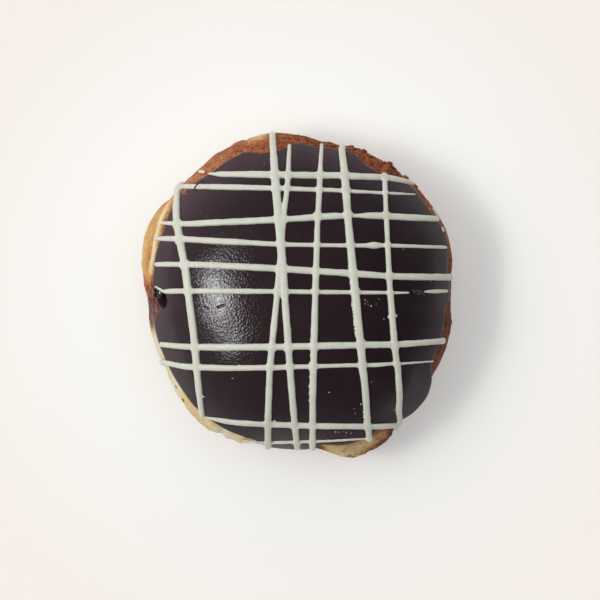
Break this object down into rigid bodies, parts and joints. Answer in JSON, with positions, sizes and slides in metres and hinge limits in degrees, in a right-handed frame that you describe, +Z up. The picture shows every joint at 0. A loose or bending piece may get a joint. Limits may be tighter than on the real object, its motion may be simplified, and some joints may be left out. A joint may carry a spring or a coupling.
{
  "type": "filled doughnut",
  "caption": "Round filled doughnut with a flat base, a dark chocolate icing cap, a lattice of white piped lines and a filling hole in its side.",
  "frame": {"origin": "middle of the bounding box at its bottom, on the flat spot that the doughnut rests on", "axes": "+Z up through the crown, +Y along the longest side in plan, with the filling hole towards -X"},
  "size_m": [0.0884, 0.0923, 0.0449],
  "materials": {
    "fried_dough": "fried yeast dough: brown crust with a pale band round the girth",
    "chocolate_icing": "dark chocolate icing, satin, finely grained",
    "white_icing": "off-white icing, set and faintly glossy",
    "chocolate_filling": "wet dark chocolate filling"
  },
  "bodies": {
    "root": {"dough": "fried_dough", "chocolate_icing": "chocolate_icing", "chocolate_filling": "chocolate_filling"}
  },
  "joints": []
}
